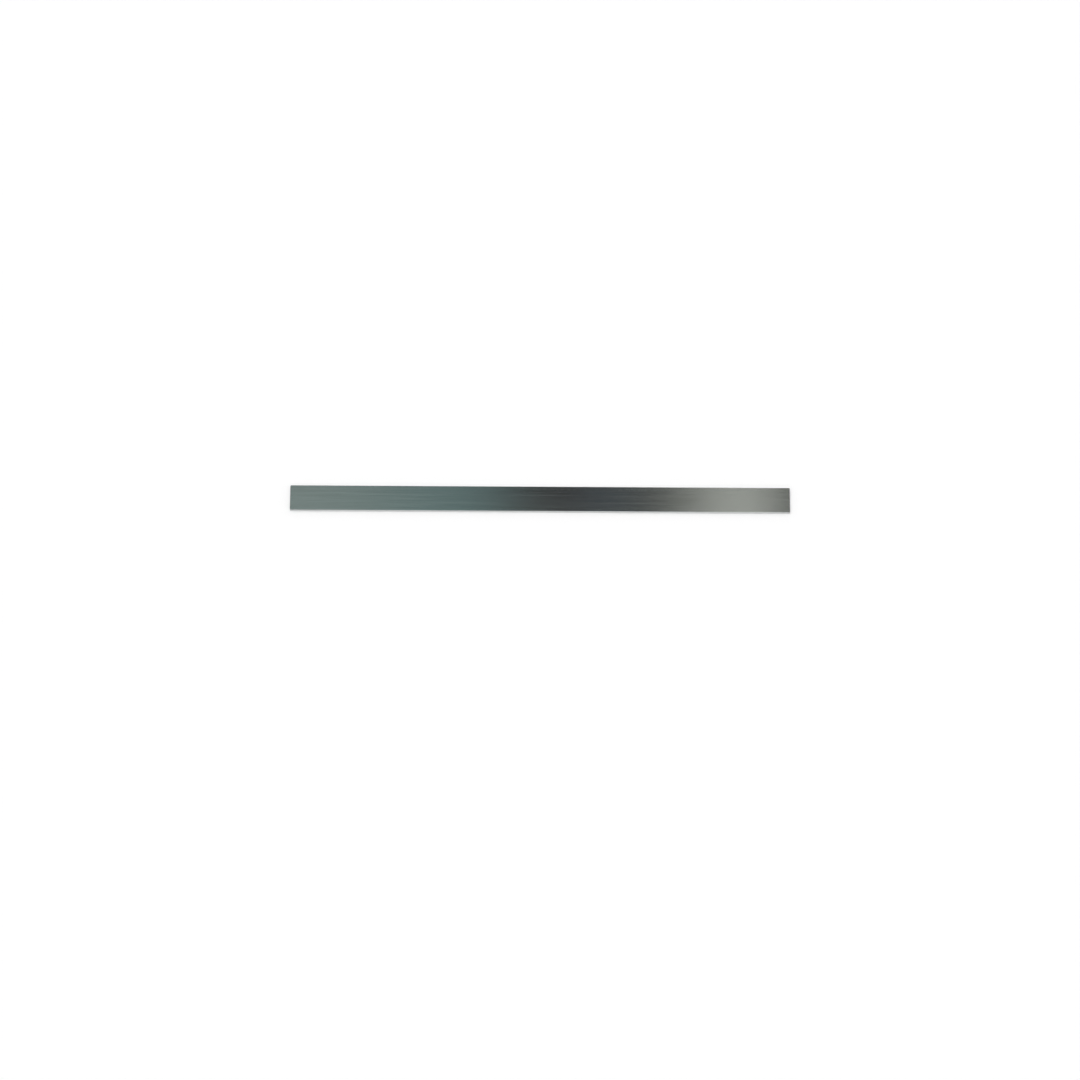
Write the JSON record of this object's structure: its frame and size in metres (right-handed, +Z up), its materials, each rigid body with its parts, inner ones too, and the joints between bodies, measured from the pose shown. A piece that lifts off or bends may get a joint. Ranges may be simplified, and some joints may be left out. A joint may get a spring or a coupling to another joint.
{
  "type": "icing smoother",
  "caption": "Flat rectangular stainless steel straight edge, held by both ends and drawn over a cake to smooth its icing.",
  "frame": {"origin": "middle of the broad face that the bar lies on", "axes": "+X along the length, +Y across the width from one working edge to the other, +Z up through the thickness"},
  "size_m": [0.4572, 0.0254, 0.0032],
  "materials": {
    "stainless_steel": "satin, fine grain along the length"
  },
  "bodies": {
    "root": {"smoothing_bar": "stainless_steel"}
  },
  "joints": []
}
